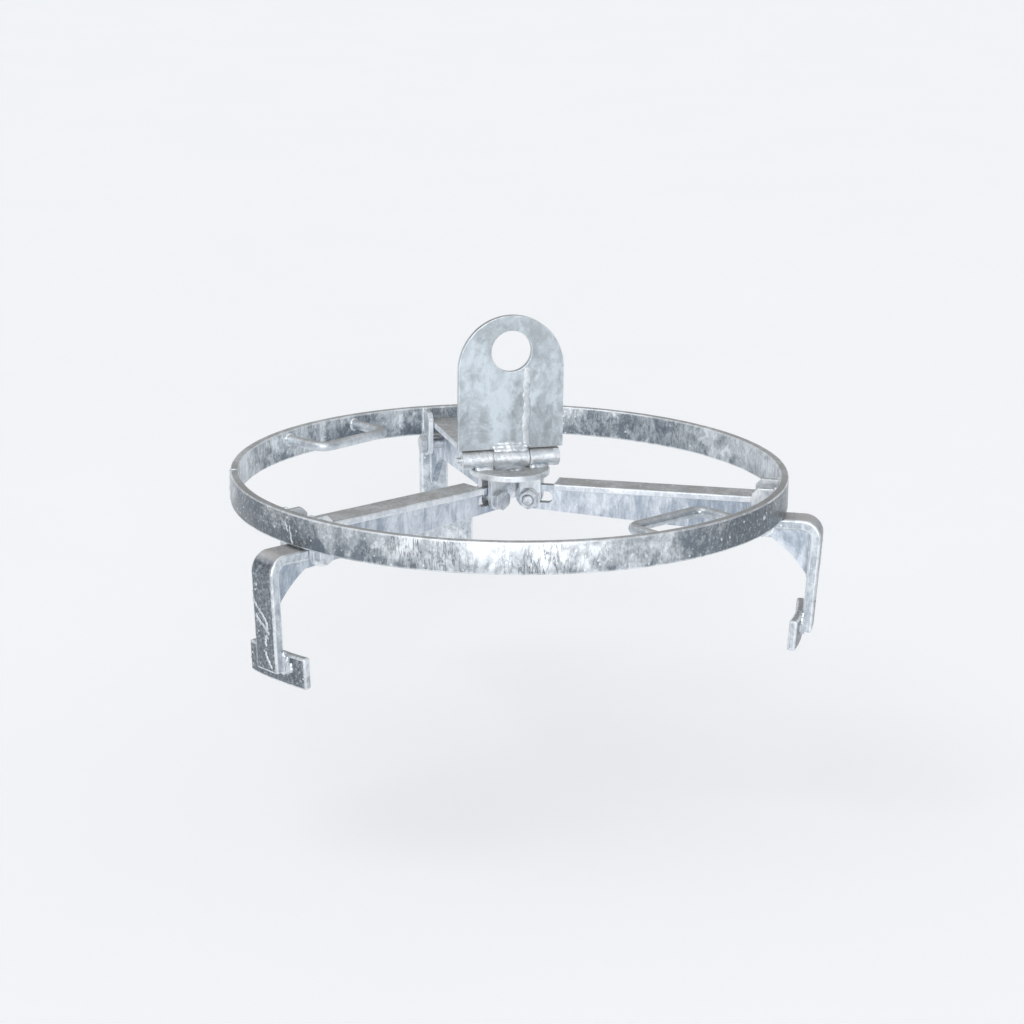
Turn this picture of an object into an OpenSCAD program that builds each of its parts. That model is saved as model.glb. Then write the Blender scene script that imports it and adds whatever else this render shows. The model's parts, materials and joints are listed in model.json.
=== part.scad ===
// Three-arm gripping ring that hangs from a hinged lifting plate.
// Raising the hub lifts the inner ends of three levers. Each lever turns on its
// pivot inside the ring and swings its claw shoe inwards.
// Millimetres, +Z up, hinge along X, one arm along +Y, origin at the centre of the eye.
// Shown with the claws closed, as it hangs.

/* [Ring] */
// Outside diameter of the ring
ring_od = 540; // [480:1:620]
// Height of the ring's flat bar
ring_h = 30; // [26:1:40]
// Thickness of the ring's flat bar
ring_t = 8; // [6:0.5:10]
// Bevel on the bar and plate edges
edge_c = 0.8; // [0.3:0.1:1.2]

/* [Pivot lugs] */
// Width of a lug, from the ring inwards
lug_w = 24; // [22:0.5:28]
// Thickness of a lug
lug_t = 5.5; // [4:0.5:8]
// Bevel on the lug's inner top corner
lug_c = 6; // [3:0.5:9]
// Top of the lug below the top of the ring
lug_below = 2; // [1:0.5:8]
// Pivot axis below the bottom edge of the ring
pivot_drop = 7; // [5:0.5:10]

/* [Arms] */
// Width of the arm's top bar
flange_w = 30; // [25:0.5:35]
// Thickness of the arm's top bar
flange_t = 6; // [5:0.5:8]
// Top of the arm's top bar above the bottom edge of the ring
flange_top = 18; // [16:0.5:20]
// Distance of the top bar's inner end from the centre line
flange_in = 46; // [44:0.5:60]
// Thickness of the arm's web plate
web_t = 8; // [6:0.5:10]
// Radius of the web's rounded inner end
web_end_r = 12; // [11:0.25:13]
// Lower edge of the web below the ring, beside the pivot
web_low = 24; // [20:0.5:26]
// Length of the slot past the hub bolt, outwards
slot_out = 16; // [10:0.5:18]
// Length of the slot past the hub bolt, inwards
slot_in = 3; // [3:0.25:4]

/* [Claws] */
// Width of the claw's bent flat bar
claw_w = 30; // [25:0.5:35]
// Part of the claw's bar inside the ring's inner face
claw_lap = 2; // [1:0.5:3]
// Thickness of the claw's bent flat bar
claw_t = 10; // [8:0.5:12]
// Inside radius of the bend
claw_bend = 8; // [7:0.5:12]
// Outer face of the claw outside the ring
claw_reach = 35; // [32:0.5:44]
// Lower end of the claw's leg below the ring
claw_drop = 114; // [100:1:130]
// Inward lean of the leg in degrees
claw_lean = 3.5; // [1:0.25:5]
// Start of the gusset's hollow lower edge outside the pivot
gusset_out = 7; // [7:0.5:10]
// Radius of the gusset's hollow lower edge
gusset_r = 110; // [70:1:130]
// Lower end of the gusset below the ring
gusset_low = 61; // [54:1:66]

/* [Shoes] */
// Height of the shoe
shoe_h = 30; // [24:1:36]
// Thickness of the shoe
shoe_t = 8; // [6:0.5:10]
// Angle that the shoe spans, in degrees
shoe_arc = 16; // [12:0.5:20]
// Part of the shoe below the end of the leg
shoe_over = 12; // [6:0.5:16]

/* [Hub] */
// Diameter of the hub disc
disc_d = 78; // [74:1:82]
// Thickness of the hub disc
disc_t = 6; // [5:0.5:8]
// Hole in the middle of the hub disc
disc_hole = 30; // [20:1:36]
// Top of the hub disc above the bottom edge of the ring
disc_top = 29; // [28:0.5:33]
// Thickness of an ear under the hub disc
ear_t = 5; // [4:0.5:6]
// Width of an ear
ear_w = 21; // [20:0.5:23]
// Distance of the hub bolts from the centre line
hub_pin_r = 22; // [22:0.5:25]
// Hub bolts above the bottom edge of the ring
hub_pin_z = 2; // [0:0.5:3]

/* [Hinge] */
// Outside diameter of the hinge tubes
tube_d = 18; // [17:0.5:20]
// Length of the left tube
tube_left = 30; // [24:1:32]
// Length of the middle tube
tube_mid = 36; // [30:1:40]
// Length of the right tube
tube_right = 24; // [20:1:28]
// Distance of the tubes' weld fillets from the disc's rim
weld_in = 3; // [2:0.5:5]
// Gap between two tubes
tube_gap = 0.5; // [0.3:0.1:1]
// Diameter of the hinge pin
hinge_d = 10; // [8:0.5:11]
// Diameter of the pin's turned-down end
nub_d = 6; // [5:0.5:7]
// Length of the pin's turned-down end
nub_l = 6; // [4:0.5:8]

/* [Lifting plate] */
// Width of the lifting plate
plate_w = 105; // [96:1:116]
// Height of the lifting plate
plate_h = 131; // [124:1:150]
// Thickness of the lifting plate
plate_t = 6; // [5:0.5:8]
// Gap between the plate's lower edge and the outer tubes
plate_gap = 1; // [0.8:0.1:2]
// Step on each side from the middle tube's end to the plate's neck
neck_in = 1; // [0.5:0.25:3]
// Diameter of the lifting eye
eye_d = 40; // [34:1:44]
// Centre of the eye below the top of the plate
eye_below = 35; // [32:0.5:40]

/* [Handles] */
// Diameter of the handle bar
handle_d = 10; // [8:0.5:12]
// Distance between the middles of a handle's legs
handle_w = 94; // [80:1:110]
// Reach of the handle inside the ring, to the middle of its bar
handle_in = 53; // [45:1:60]
// Bend radius of the handle on its middle line
handle_bend = 12; // [10:0.5:16]
// Middle of the handle bar above the bottom edge of the ring
handle_z = 20.5; // [12:0.5:22]

/* [Bolts and fits] */
// Diameter of the pivot and hub bolts
bolt_d = 10; // [8:0.5:10]
// Width across flats of heads and nuts
hex_af = 17; // [16:0.5:17]
// Height of a bolt head
head_h = 6.4; // [5:0.1:7]
// Height of a nut
nut_h = 8; // [6:0.1:8.4]
// Diameter of a washer
washer_d = 20; // [19:0.5:21]
// Thickness of a washer
washer_t = 2; // [1.5:0.1:2.5]
// Bevel on a bolt's end
bolt_c = 1; // [0.6:0.1:1.4]
// Part of a bolt past its nut
bolt_out = 3; // [2:0.5:4]
// Radial clearance of a bolt in its washer
washer_c = 0.25; // [0.15:0.05:0.4]
// Radial clearance of a shank in its hole
run_c = 0.08; // [0.03:0.01:0.1]
// Clearance on each side of the hub bolt in its slot
slot_c = 0.6; // [0.4:0.1:0.8]
// Gap on each side of the arm between its lugs
lug_gap = 0.55; // [0.4:0.05:0.8]
// Gap on each side of the web between its ears
ear_gap = 0.6; // [0.4:0.1:0.8]
// Gap between the arm's top bar and the ring, which stops the claws closing
stop_gap = 0.4; // [0.3:0.1:0.8]
// Room above the claw bar, which the ring closes when the claws open
claw_gap = 2.5; // [2.5:0.1:3.5]

/* [Hidden] */
$fn = 96;
zinc = [0.63, 0.66, 0.69];
bright = [0.72, 0.74, 0.77];
dull = [0.52, 0.55, 0.58];

// Azimuths of the three arms and the two handles
arm_az = [-27, 90, 207];
handle_az = [-63, 123];

ring_ro = ring_od / 2;
ring_ri = ring_ro - ring_t;
pivot_r = ring_ri - lug_w / 2;
pivot_z = -pivot_drop;
lug_top = ring_h - lug_below;
lug_y = flange_w / 2 + lug_gap;

flange_low = flange_top - flange_t;
flange_out = sqrt(pow(ring_ri, 2) - pow(flange_w / 2, 2)) - stop_gap;
slot_in_r = hub_pin_r - slot_in;
slot_out_r = hub_pin_r + slot_out;
slot_r = bolt_d / 2 + slot_c;

// The claw's bent bar: where it starts, the centre of its bend, the length of its leg
claw_in = ring_ri - claw_lap;
bend_o = claw_bend + claw_t;
bend_c = [ring_ro + claw_reach - bend_o, -claw_gap - bend_o];
leg_dir = [-sin(claw_lean), -cos(claw_lean)];
leg_nrm = [cos(claw_lean), -sin(claw_lean)];
leg_l = (claw_drop + bend_c.y - bend_o * sin(claw_lean)) / cos(claw_lean);
leg_in = bend_c + claw_bend * leg_nrm + leg_l * leg_dir;
leg_out = leg_in + claw_t * leg_nrm;
shoe_ro = leg_in.x;
shoe_seat = pow(claw_w, 2) / (8 * shoe_ro);

// The gusset's hollow edge runs from beside the pivot to the leg's inner face
gus_l = (gusset_low + bend_c.y - claw_bend * sin(claw_lean)) / cos(claw_lean);
gus_p = [pivot_r + gusset_out, -web_low];
gus_q = bend_c + claw_bend * leg_nrm + gus_l * leg_dir;
function arc_centre(p, q, r) = let (d = q - p, l = norm(d))
    (p + q) / 2 + [d.y, -d.x] / l * sqrt(r * r - l * l / 4);

disc_low = disc_top - disc_t;
ear_y = web_t / 2 + ear_gap;
hinge_z = disc_top + tube_d / 2;
tube_x = tube_mid / 2 + tube_gap;
pin_left = -tube_x - tube_left;
pin_right = tube_x + tube_right;
plate_low = hinge_z + tube_d / 2 + plate_gap;
plate_top = plate_low + plate_h;
eye_z = plate_top - eye_below;
handle_r = ring_ri - handle_in;

// Frames

// The ring's bottom edge, seen from the eye
module at_ring() { translate([0, 0, -eye_z]) children(); }

// One arm's own frame: X outwards, Y across the arm
module at_arm(k) { at_ring() rotate([0, 0, arm_az[k - 1]]) children(); }

// A plate standing in the arm's plane, from an (outwards, up) profile
module upright(t) { rotate([90, 0, 0]) linear_extrude(t, center = true) children(); }

// The claw's leg in its arm's frame: origin at the centre of the bend, leg along -Z
module at_leg() { translate([bend_c.x, 0, bend_c.y]) rotate([0, claw_lean, 0]) children(); }

// A round rod across the arm, centred on its plane at (outwards, up)
module crosswise(p, r, h) {
    translate([p.x, 0, p.y]) rotate([90, 0, 0]) cylinder(r = r, h = h, center = true);
}

// The hinge's own frame: Z along the pin
module at_hinge() { at_ring() translate([0, 0, hinge_z]) rotate([90, 0, 90]) children(); }

// Fasteners

// A six-sided block with its outer corners bevelled at 30 degrees on top
module hex_block(h) {
    r = hex_af / sqrt(3);
    face_r = 0.95 * hex_af / 2;
    intersection() {
        cylinder(r = r, h = h, $fn = 6);
        rotate_extrude()
            polygon([[0, 0], [2 * r, 0], [2 * r, h - (2 * r - face_r) * tan(30)], [face_r, h], [0, h]]);
    }
}

// A bolt along Z: head below 0, shank of length l above it
module hex_bolt(l) {
    rotate([180, 0, 0]) hex_block(head_h);
    rotate_extrude()
        polygon([[0, -head_h / 2], [bolt_d / 2, -head_h / 2], [bolt_d / 2, l - bolt_c],
            [bolt_d / 2 - bolt_c, l], [0, l]]);
}

module hex_nut() {
    difference() {
        hex_block(nut_h);
        translate([0, 0, -nut_h]) cylinder(r = bolt_d / 2 + run_c, h = 3 * nut_h);
    }
}

module washer() {
    difference() {
        cylinder(d = washer_d, h = washer_t);
        translate([0, 0, -washer_t]) cylinder(r = bolt_d / 2 + washer_c, h = 3 * washer_t);
    }
}

// One bolt set across each arm: its place, the outer face it clamps, and its part
module across_arms(r, z) {
    for (k = [1 : 3]) at_arm(k) translate([r, 0, z]) rotate([90, 0, 0]) children();
}

module bolts(r, z, face) {
    across_arms(r, z) translate([0, 0, -face])
        hex_bolt(2 * face + washer_t + nut_h + bolt_out);
}

module washers(r, z, face) { across_arms(r, z) translate([0, 0, face]) washer(); }

module nuts(r, z, face) { across_arms(r, z) translate([0, 0, face + washer_t]) hex_nut(); }

// Ring

module ring_band() {
    color(zinc) at_ring() rotate_extrude($fn = 240) translate([ring_ri, 0])
        polygon([[edge_c, 0], [ring_t - edge_c, 0], [ring_t, edge_c], [ring_t, ring_h - edge_c],
            [ring_t - edge_c, ring_h], [edge_c, ring_h], [0, ring_h - edge_c], [0, edge_c]]);
}

// A lug seats on the ring's inner face and is rounded about the pivot
module lug(k, side) {
    color(zinc) intersection() {
        at_arm(k) difference() {
            translate([0, side * (lug_y + lug_t / 2), 0]) upright(lug_t) {
                translate([pivot_r, pivot_z]) circle(d = lug_w);
                polygon([[pivot_r - lug_w / 2, pivot_z], [pivot_r + lug_w / 2, pivot_z],
                    [ring_ri, lug_top], [pivot_r - lug_w / 2 + lug_c, lug_top],
                    [pivot_r - lug_w / 2, lug_top - lug_c]]);
            }
            crosswise([pivot_r, pivot_z], bolt_d / 2 + run_c, 4 * (lug_y + lug_t));
        }
        at_ring() translate([0, 0, -ring_h]) cylinder(r = ring_ri, h = 3 * ring_h, $fn = 240);
    }
}

module pivot_bolts() { color(bright) bolts(pivot_r, pivot_z, lug_y + lug_t); }
module pivot_washers() { color(bright) washers(pivot_r, pivot_z, lug_y + lug_t); }
module pivot_nuts() { color(bright) nuts(pivot_r, pivot_z, lug_y + lug_t); }

// A round bar bent to a U, welded to the ring's inner face by both legs
module handle(k) {
    straight = handle_w / 2 - handle_bend;
    color(zinc) intersection() {
        at_ring() rotate([0, 0, handle_az[k - 1]]) translate([handle_r, 0, handle_z]) {
            rotate([90, 0, 0]) cylinder(d = handle_d, h = 2 * straight, center = true);
            for (s = [-1, 1]) {
                translate([handle_bend, s * straight, 0]) rotate([0, 0, s > 0 ? 90 : 180])
                    rotate_extrude(angle = 90) translate([handle_bend, 0]) circle(d = handle_d);
                translate([handle_bend, s * handle_w / 2, 0]) rotate([0, 90, 0])
                    cylinder(d = handle_d, h = handle_in);
            }
        }
        at_ring() cylinder(r = ring_ri, h = 2 * ring_h, $fn = 240);
    }
}

// Arms

// Side view of the web: stepped under the ring and filling the claw's corner
module web_outline() {
    polygon([[slot_in_r, hub_pin_z + web_end_r], [flange_in, hub_pin_z + web_end_r],
        [flange_in, flange_low], [claw_in, flange_low], [claw_in, -claw_gap - claw_t],
        bend_c + [0, claw_bend], bend_c, bend_c + claw_bend * leg_nrm, gus_q, gus_p,
        [slot_in_r, hub_pin_z - web_end_r]]);
}

// The gusset's hollow lower edge, outside the pivot
module gusset_cut() {
    intersection() {
        translate(arc_centre(gus_p, gus_q, gusset_r)) circle(r = gusset_r, $fn = 240);
        translate([gus_p.x, -claw_drop]) square(claw_drop);
    }
}

// The slot that the hub bolt slides in
module slot_cut() {
    for (r = [slot_in_r, slot_out_r]) translate([r, hub_pin_z]) circle(r = slot_r);
    translate([slot_in_r, hub_pin_z - slot_r]) square([slot_out_r - slot_in_r, 2 * slot_r]);
}

// The web plate, rounded at the hub and in the claw's bend, with its pivot hole and slot
module arm_web(k) {
    color(zinc) at_arm(k) difference() {
        union() {
            upright(web_t) web_outline();
            crosswise([slot_in_r, hub_pin_z], web_end_r, web_t);
            crosswise(bend_c, claw_bend, web_t);
        }
        upright(2 * web_t) gusset_cut();
        upright(2 * web_t) slot_cut();
        crosswise([pivot_r, pivot_z], bolt_d / 2 + run_c, 2 * web_t);
    }
}

module arm_flange(k) {
    color(dull) at_arm(k) translate([flange_in, -flange_w / 2, flange_low])
        cube([flange_out - flange_in, flange_w, flange_t]);
}

// A flat bar under the ring, bent down to a leaning leg
module claw_bar(k) {
    color(zinc) at_arm(k) difference() {
        union() {
            upright(claw_w) polygon([[claw_in, -claw_gap], bend_c + [0, bend_o], bend_c,
                bend_c + bend_o * leg_nrm, leg_out, leg_in, [claw_in, -claw_gap - claw_t]]);
            crosswise(bend_c, bend_o, claw_w);
        }
        upright(2 * claw_w) polygon([[0, -claw_gap - claw_t], bend_c + [0, claw_bend], bend_c,
            bend_c + claw_bend * leg_nrm, leg_in + leg_l * leg_dir, [0, -2 * claw_drop]]);
        crosswise(bend_c, claw_bend, 2 * claw_w);
    }
}

// A curved plate on the leg's inner face, with a flat where the leg is welded to it
module claw_shoe(k) {
    color(bright) at_arm(k) at_leg() difference() {
        translate([claw_bend + shoe_seat - shoe_ro, 0, -leg_l - shoe_over])
            rotate([0, 0, -shoe_arc / 2]) rotate_extrude(angle = shoe_arc, $fn = 240)
                translate([shoe_ro - shoe_t, 0]) square([shoe_t, shoe_h]);
        translate([claw_bend, -claw_w / 2, -leg_l]) cube([claw_t, claw_w, leg_l]);
    }
}

// Hub

module hub_disc() {
    r = disc_d / 2;
    color(zinc) at_ring() translate([0, 0, disc_low]) rotate_extrude()
        polygon([[disc_hole / 2, 0], [r - edge_c, 0], [r, edge_c], [r, disc_t - edge_c],
            [r - edge_c, disc_t], [disc_hole / 2, disc_t]]);
}

// An ear hangs from the disc beside the web and is rounded about the hub bolt
module ear(k, side) {
    color(zinc) at_arm(k) difference() {
        translate([0, side * (ear_y + ear_t / 2), 0]) upright(ear_t) {
            translate([hub_pin_r, hub_pin_z]) circle(d = ear_w);
            translate([hub_pin_r - ear_w / 2, hub_pin_z]) square([ear_w, disc_low - hub_pin_z]);
        }
        crosswise([hub_pin_r, hub_pin_z], bolt_d / 2 + run_c, 4 * (ear_y + ear_t));
    }
}

module hub_bolts() { color(bright) bolts(hub_pin_r, hub_pin_z, ear_y + ear_t); }
module hub_washers() { color(bright) washers(hub_pin_r, hub_pin_z, ear_y + ear_t); }
module hub_nuts() { color(bright) nuts(hub_pin_r, hub_pin_z, ear_y + ear_t); }

// Hinge

// An outer tube with its weld fillets, which end short of the disc's rim
module outer_tube(x0, x1, w0, w1) {
    r = tube_d / 2;
    color(zinc) at_hinge() difference() {
        union() {
            translate([0, 0, x0]) cylinder(r = r, h = x1 - x0);
            translate([0, 0, w0]) linear_extrude(w1 - w0)
                polygon([[-0.9 * r, -r], [0.9 * r, -r], [0.62 * r, -0.67 * r], [-0.62 * r, -0.67 * r]]);
        }
        translate([0, 0, x0 - r]) cylinder(r = hinge_d / 2 + run_c, h = x1 - x0 + 2 * r);
    }
}

module hinge_tube_left() { outer_tube(pin_left, -tube_x, weld_in - disc_d / 2, -tube_x); }
module hinge_tube_right() { outer_tube(tube_x, pin_right, tube_x, disc_d / 2 - weld_in); }

module hinge_tube_middle() {
    color(zinc) at_hinge() difference() {
        cylinder(d = tube_d, h = tube_mid, center = true);
        cylinder(r = hinge_d / 2 + run_c, h = 2 * tube_mid, center = true);
    }
}

// A headed pin with a turned-down end
module hinge_pin() {
    color(bright) at_hinge() {
        translate([0, 0, pin_right]) hex_block(head_h);
        rotate_extrude()
            polygon([[0, pin_left - nub_l], [nub_d / 2 - edge_c, pin_left - nub_l],
                [nub_d / 2, pin_left - nub_l + edge_c], [nub_d / 2, pin_left],
                [hinge_d / 2 - edge_c, pin_left], [hinge_d / 2, pin_left + edge_c],
                [hinge_d / 2, pin_right + head_h / 2], [0, pin_right + head_h / 2]]);
    }
}

// Lifting plate

// A round-topped plate that is coped onto the middle tube
module lifting_plate() {
    r = plate_w / 2;
    color(zinc) difference() {
        at_ring() upright(plate_t) {
            translate([-r, plate_low]) square([plate_w, plate_h - r]);
            translate([0, plate_top - r]) circle(r = r);
            translate([neck_in - tube_mid / 2, hinge_z])
                square([tube_mid - 2 * neck_in, plate_low - hinge_z]);
        }
        at_hinge() cylinder(d = tube_d, h = 2 * tube_mid, center = true);
        rotate([90, 0, 0]) cylinder(d = eye_d, h = 2 * plate_t, center = true);
    }
}

ring_band();
lug(1, 1);  // lug_1_left
lug(1, -1);  // lug_1_right
lug(2, 1);  // lug_2_left
lug(2, -1);  // lug_2_right
lug(3, 1);  // lug_3_left
lug(3, -1);  // lug_3_right
pivot_bolts();
pivot_washers();
pivot_nuts();
handle(1);  // handle_front
handle(2);  // handle_rear
arm_web(1);  // arm_web_1
arm_flange(1);  // arm_flange_1
claw_bar(1);  // claw_bar_1
claw_shoe(1);  // claw_shoe_1
arm_web(2);  // arm_web_2
arm_flange(2);  // arm_flange_2
claw_bar(2);  // claw_bar_2
claw_shoe(2);  // claw_shoe_2
arm_web(3);  // arm_web_3
arm_flange(3);  // arm_flange_3
claw_bar(3);  // claw_bar_3
claw_shoe(3);  // claw_shoe_3
hub_disc();
ear(1, 1);  // ear_1_left
ear(1, -1);  // ear_1_right
ear(2, 1);  // ear_2_left
ear(2, -1);  // ear_2_right
ear(3, 1);  // ear_3_left
ear(3, -1);  // ear_3_right
hub_bolts();
hub_washers();
hub_nuts();
hinge_tube_left();
hinge_tube_right();
hinge_pin();
lifting_plate();
hinge_tube_middle();
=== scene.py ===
"""Looks of the three-arm lifting grab: hot-dip galvanised steel with welds, threads and zinc runs.

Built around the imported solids, in metres, +Z up, with the origin at the centre of the lifting eye.
Arm 2 points along +Y, so the boxes of its nodes give the sizes that all three arms share.
"""

import json
import math

import bmesh
import bpy
from mathutils import Matrix, Vector


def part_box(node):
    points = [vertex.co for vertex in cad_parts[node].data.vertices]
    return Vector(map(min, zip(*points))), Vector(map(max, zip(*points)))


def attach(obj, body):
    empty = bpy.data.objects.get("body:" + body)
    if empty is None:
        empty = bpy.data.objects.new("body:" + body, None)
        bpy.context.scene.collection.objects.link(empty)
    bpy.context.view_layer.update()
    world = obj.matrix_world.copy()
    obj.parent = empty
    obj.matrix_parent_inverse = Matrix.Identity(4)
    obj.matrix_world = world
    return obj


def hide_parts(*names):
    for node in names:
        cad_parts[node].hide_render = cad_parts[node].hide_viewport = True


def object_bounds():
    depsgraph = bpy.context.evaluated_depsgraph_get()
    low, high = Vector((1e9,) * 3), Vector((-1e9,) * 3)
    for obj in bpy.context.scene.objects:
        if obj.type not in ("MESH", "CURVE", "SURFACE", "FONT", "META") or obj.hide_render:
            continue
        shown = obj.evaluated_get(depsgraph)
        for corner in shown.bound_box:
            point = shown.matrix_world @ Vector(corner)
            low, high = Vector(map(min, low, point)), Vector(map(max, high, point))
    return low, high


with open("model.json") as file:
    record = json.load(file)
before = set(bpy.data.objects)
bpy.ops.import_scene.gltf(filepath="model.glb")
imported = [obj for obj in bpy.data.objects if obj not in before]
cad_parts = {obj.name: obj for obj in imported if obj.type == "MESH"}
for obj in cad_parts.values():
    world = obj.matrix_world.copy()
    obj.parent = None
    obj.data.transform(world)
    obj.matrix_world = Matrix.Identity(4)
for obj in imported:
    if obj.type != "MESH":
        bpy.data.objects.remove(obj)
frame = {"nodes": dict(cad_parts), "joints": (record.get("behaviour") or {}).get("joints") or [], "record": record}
cad_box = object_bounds()
solids = frame["nodes"]
record = frame["record"]
slot_of = {part["node"]: part["material_slot"] for part in record["subparts"]}
body_of = {node: body for body, members in record["behaviour"]["bodies"].items() for node in members}
joints = {joint["name"]: joint for joint in frame["joints"]}

MM = 0.001
ARMS = (1, 2, 3)
SIDES = (-1, 1)

# Sizes read from the solids
ring_lo, ring_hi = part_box("ring_band")
RING_OUT = ring_hi.x
RING_IN = min(v.co.xy.length for v in solids["ring_band"].data.vertices)
RING_LOW = ring_lo.z
RING_TOP = ring_hi.z
MID_RING = (RING_LOW + RING_TOP) / 2
flange_lo, flange_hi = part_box("arm_flange_2")
web_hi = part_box("arm_web_2")[1]
claw_lo, claw_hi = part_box("claw_bar_2")
shoe_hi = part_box("claw_shoe_2")[1]
lug_lo, lug_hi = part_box("lug_2_left")
ear_lo, ear_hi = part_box("ear_2_left")
disc_lo, disc_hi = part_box("hub_disc")
plate_lo, plate_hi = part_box("lifting_plate")
PIVOT = Vector(joints["arm_2_swing"]["pos_m"])
HINGE_Z = joints["plate_fold"]["pos_m"][2]
TUBE_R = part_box("hinge_tube_middle")[1].y

# Sizes repeated from the part's source
CLAW_T = 10 * MM
CLAW_BEND = 8 * MM
CLAW_LEAN = math.radians(3.5)
GUSSET_LOW = RING_LOW - 61 * MM
HUB_PIN_R = 22 * MM
HUB_PIN_Z = RING_LOW + 2 * MM
BOLT_R = 5 * MM
HEX_AF = 17 * MM
HEAD_H = 6.4 * MM
NUT_H = 8 * MM
WASHER_R = 10 * MM
WASHER_T = 2 * MM
BOLT_OUT = 3 * MM
HANDLE_R = 5 * MM
HANDLE_W = 94 * MM
HANDLE_Z = RING_LOW + 20.5 * MM
HANDLE_AZ = (math.radians(-63), math.radians(123))
BEND_OUT = CLAW_BEND + CLAW_T
LEG_DOWN = Vector((-math.sin(CLAW_LEAN), 0, -math.cos(CLAW_LEAN)))

# The photograph's viewpoint, with its focal length and its centre in pixels
VIEW_AZ = math.radians(16)
VIEW_EL = math.radians(15.0)
VIEW_ROLL = math.radians(0.717)
VIEW_DISTANCE = 2.6
VIEW_FOCAL_PX = 2668.8
VIEW_CENTRE_PX = (509.3, 495.7)
IMAGE_PX = 1024
SENSOR_MM = 36


def arm_azimuth(k):
    """Direction of an arm, from its pivot."""
    x, y, _ = joints[f"arm_{k}_swing"]["pos_m"]
    return math.atan2(y, x)


def turned(azimuth):
    """Frame with X outwards at an azimuth, Y across and Z as in the row frame."""
    return Matrix.Rotation(azimuth, 4, "Z")


# Node trees

def add(tree, kind, inputs=None, **settings):
    """A node with its settings. An input is a value, or the socket it is linked from."""
    node = tree.nodes.new(kind)
    for key, value in settings.items():
        setattr(node, key, value)
    for key, value in (inputs or {}).items():
        if isinstance(value, bpy.types.NodeSocket):
            tree.links.new(value, node.inputs[key])
        else:
            node.inputs[key].default_value = value
    return node


def new_tree(name, kind, inputs, outputs):
    """A node group with named sockets, and its input and output nodes."""
    tree = bpy.data.node_groups.new(name, kind)
    for label, socket, value in inputs:
        made = tree.interface.new_socket(label, in_out="INPUT", socket_type=socket)
        if value is not None:
            made.default_value = value
    for label, socket in outputs:
        tree.interface.new_socket(label, in_out="OUTPUT", socket_type=socket)
    return tree, tree.nodes.new("NodeGroupInput").outputs, tree.nodes.new("NodeGroupOutput").inputs


def maths(tree, operation, a, b=0.0, c=0.0):
    """The result of a Math node."""
    return add(tree, "ShaderNodeMath", {0: a, 1: b, 2: c}, operation=operation).outputs[0]


def vectors(tree, operation, a, b):
    """The result of a Vector Math node."""
    return add(tree, "ShaderNodeVectorMath", {0: a, 1: b}, operation=operation).outputs[0]


def ramp(tree, value, low, high, start=0.0, end=1.0):
    """A smooth step from start to end while a value goes from low to high."""
    return add(tree, "ShaderNodeMapRange", {"Value": value, "From Min": low, "From Max": high,
               "To Min": start, "To Max": end}, interpolation_type="SMOOTHSTEP").outputs[0]


def mixed(tree, share, a, b):
    """Colour a, going over to colour b."""
    node = add(tree, "ShaderNodeMix", {"Factor": share}, data_type="RGBA")
    for socket, value in ((node.inputs[6], a), (node.inputs[7], b)):
        if isinstance(value, bpy.types.NodeSocket):
            tree.links.new(value, socket)
        else:
            socket.default_value = (*value, 1.0)
    return node.outputs[2]


# Effects of the zinc coat that several materials share

FLOAT = "NodeSocketFloat"
VECTOR = "NodeSocketVector"


def stretched(tree, sockets):
    """Object coordinates times a scale, drawn out along Z."""
    scale = maths(tree, "MULTIPLY", sockets["Scale"], sockets["Stretch"])
    scales = add(tree, "ShaderNodeCombineXYZ", {0: sockets["Scale"], 1: sockets["Scale"], 2: scale})
    return vectors(tree, "MULTIPLY", sockets["Coordinates"], scales.outputs[0])


def cloud_group():
    """Frosty clouds, which gather and thin out over longer stretches."""
    tree, given, made = new_tree("zinc_clouds", "ShaderNodeTree",
                                 [("Coordinates", VECTOR, None), ("Scale", FLOAT, 40.0),
                                  ("Stretch", FLOAT, 1.0), ("Level", FLOAT, 0.5), ("Spread", FLOAT, 0.15)],
                                 [("Mask", FLOAT)])
    place = stretched(tree, given)
    noise = add(tree, "ShaderNodeTexNoise", {"Vector": place, "Scale": 1.0, "Detail": 6.0,
                "Roughness": 0.64, "Distortion": 0.8}).outputs[0]
    drift = add(tree, "ShaderNodeTexNoise", {"Vector": place, "Scale": 0.21, "Detail": 1.0}).outputs[0]
    noise = maths(tree, "MULTIPLY_ADD", maths(tree, "SUBTRACT", drift, 0.5), 0.45, noise)
    low = maths(tree, "SUBTRACT", given["Level"], given["Spread"])
    high = maths(tree, "ADD", given["Level"], given["Spread"])
    tree.links.new(ramp(tree, noise, low, high), made["Mask"])
    return tree


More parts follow.
